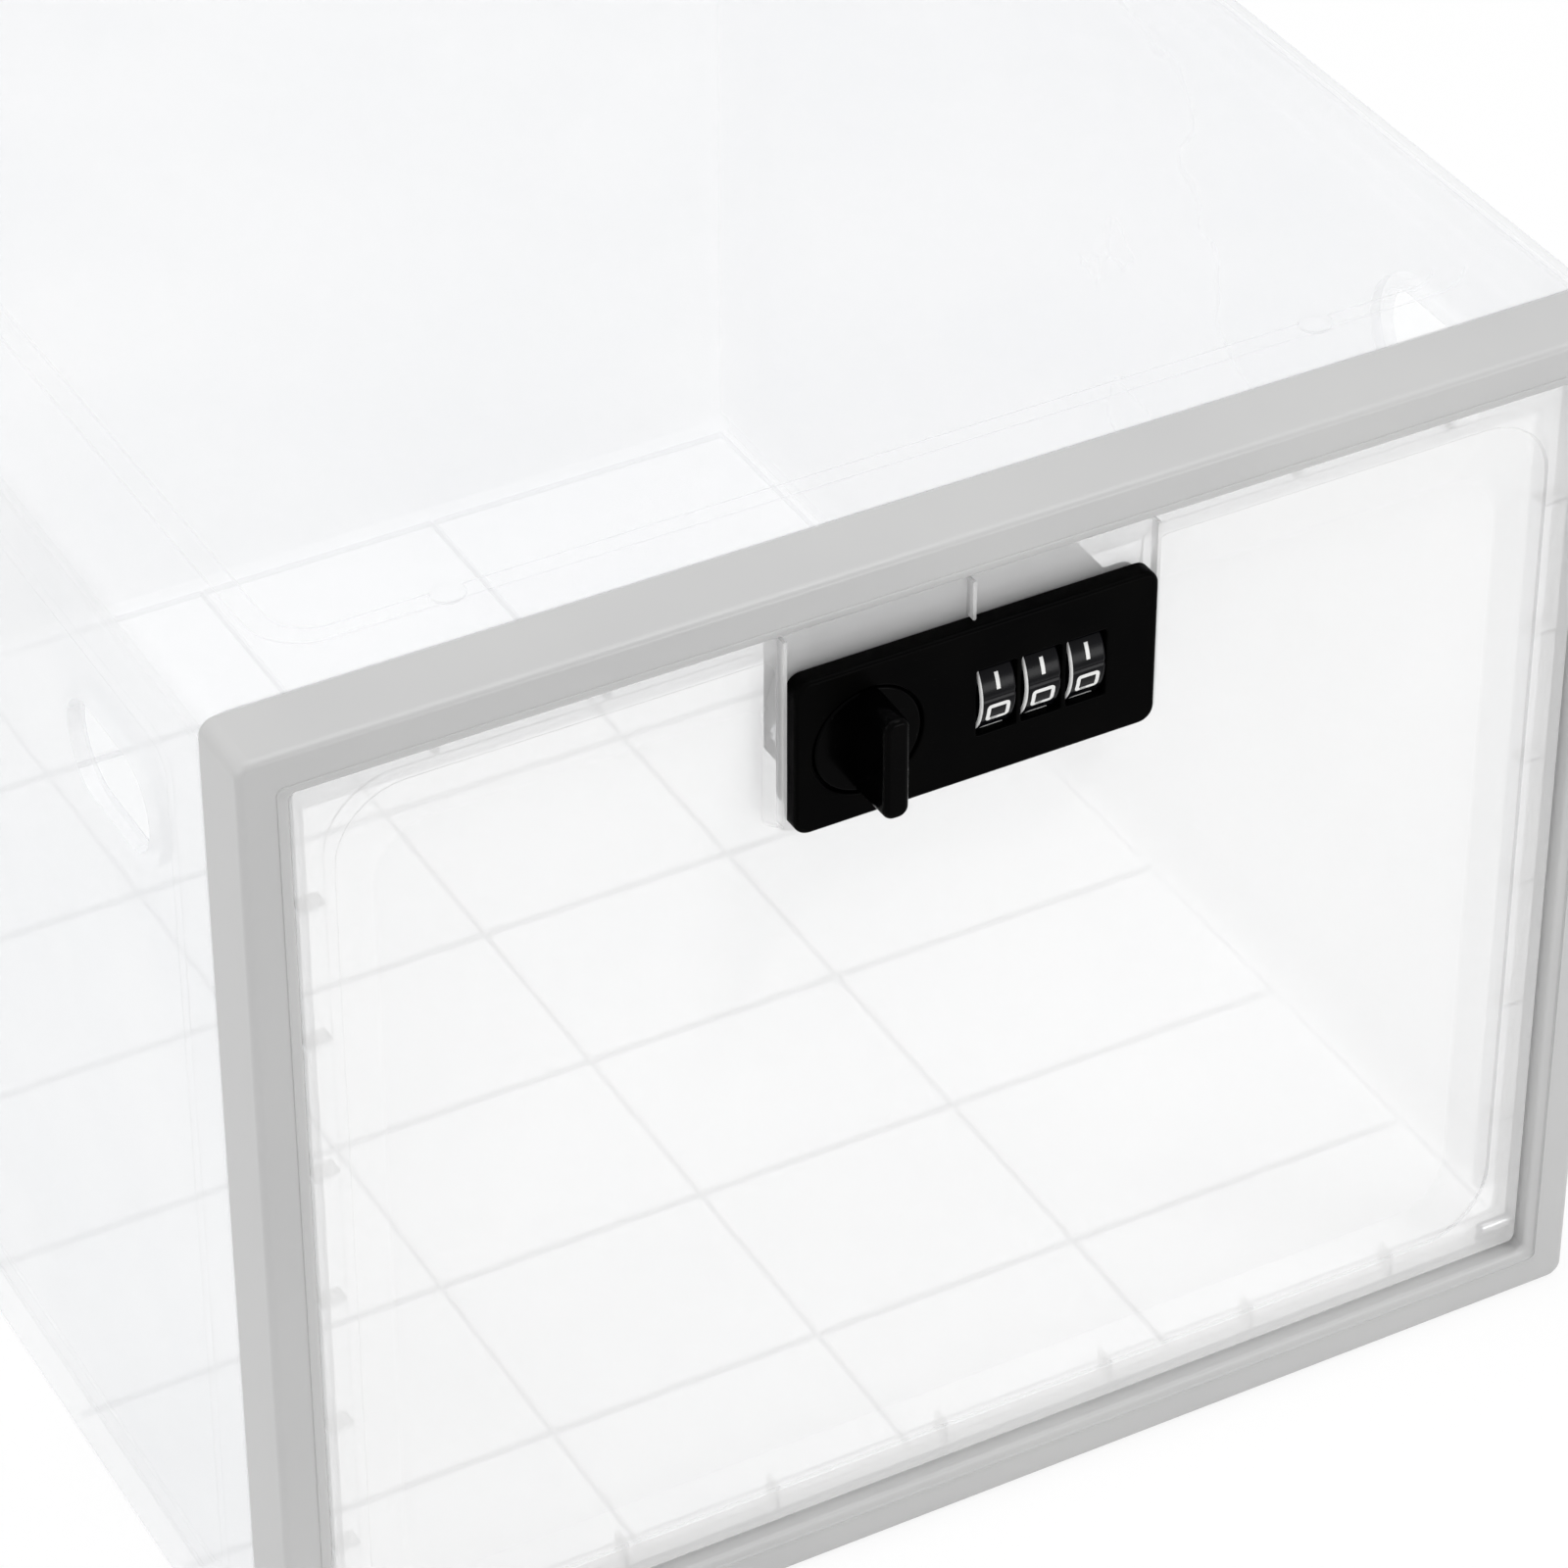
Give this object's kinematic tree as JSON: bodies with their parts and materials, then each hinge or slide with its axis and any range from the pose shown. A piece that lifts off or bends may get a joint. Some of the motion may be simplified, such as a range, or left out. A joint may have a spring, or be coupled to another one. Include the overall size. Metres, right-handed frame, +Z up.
{
  "type": "lockable storage box",
  "caption": "Clear plastic storage box with a grey front frame and a drop-down door that a dial combination lock with a turn knob holds shut.",
  "frame": {"origin": "bottom centre of the whole object's box, on the surface it stands on", "axes": "+X to the right as seen from the front, +Y from the door to the back, +Z up; the door faces -Y"},
  "size_m": [0.28, 0.3614, 0.227],
  "materials": {
    "clear_body": "clear moulded polypropylene, slightly milky",
    "clear_door": "clear moulded polypropylene, slightly milky",
    "grey_frame": "satin moulded plastic",
    "black_lock": "semi-gloss black plastic",
    "black_dial": "semi-gloss black plastic with white numbers",
    "dark_case": "matt dark plastic",
    "zinc": "plain die-cast zinc alloy",
    "steel": "zinc-plated steel",
    "white_plastic": "white moulded plastic"
  },
  "bodies": {
    "box": {"body_shell": "clear_body", "front_frame": "grey_frame", "hinge_pin_left": "steel", "hinge_pin_right": "steel"},
    "door": {"door_panel": "clear_door", "lock_face_plate": "black_lock", "lock_case": "dark_case", "lock_screw_left": "steel", "lock_screw_right": "steel", "detent_spring": "steel", "spindle_spring": "steel"},
    "dial_1_body": {"dial_1": "black_dial", "code_sleeve_1": "zinc"},
    "dial_2_body": {"dial_2": "black_dial", "code_sleeve_2": "zinc"},
    "dial_3_body": {"dial_3": "black_dial", "code_sleeve_3": "zinc"},
    "knob_body": {"knob": "black_lock", "latch_cam": "steel", "cam_washer": "steel", "cam_screw": "steel"},
    "code_spindle_body": {"code_spindle": "zinc"},
    "reset_lever_body": {"reset_lever": "white_plastic"}
  },
  "joints": [
    {"name": "door_hinge", "type": "hinge", "parent": "box", "child": "door", "pos_m": [0, -0.16325, 0.0145], "axis": [1, 0, 0], "range_deg": [0, 87]},
    {"name": "dial_1_turn", "type": "hinge", "parent": "door", "child": "dial_1_body", "pos_m": [0.0037, -0.16105, 0.1915], "axis": [1, 0, 0], "continuous": true},
    {"name": "dial_2_turn", "type": "hinge", "parent": "door", "child": "dial_2_body", "pos_m": [0.0128, -0.16105, 0.1915], "axis": [1, 0, 0], "continuous": true},
    {"name": "dial_3_turn", "type": "hinge", "parent": "door", "child": "dial_3_body", "pos_m": [0.0219, -0.16105, 0.1915], "axis": [1, 0, 0], "continuous": true},
    {"name": "knob_turn", "type": "hinge", "parent": "door", "child": "knob_body", "pos_m": [-0.022, -0.16105, 0.1915], "axis": [0, -1, 0], "range_deg": [0, 90]},
    {"name": "code_spindle_slide", "type": "slide", "parent": "door", "child": "code_spindle_body", "axis": [1, 0, 0], "range_m": [0, 0.0026], "deforming": ["spindle_spring"]},
    {"name": "reset_lever_slide", "type": "slide", "parent": "door", "child": "reset_lever_body", "axis": [0, 0, 1], "range_m": [0, 0.003]}
  ],
  "couplings": [
    {"joint": "code_spindle_slide", "follows": "knob_turn", "m_per_rad": 0.001655}
  ]
}
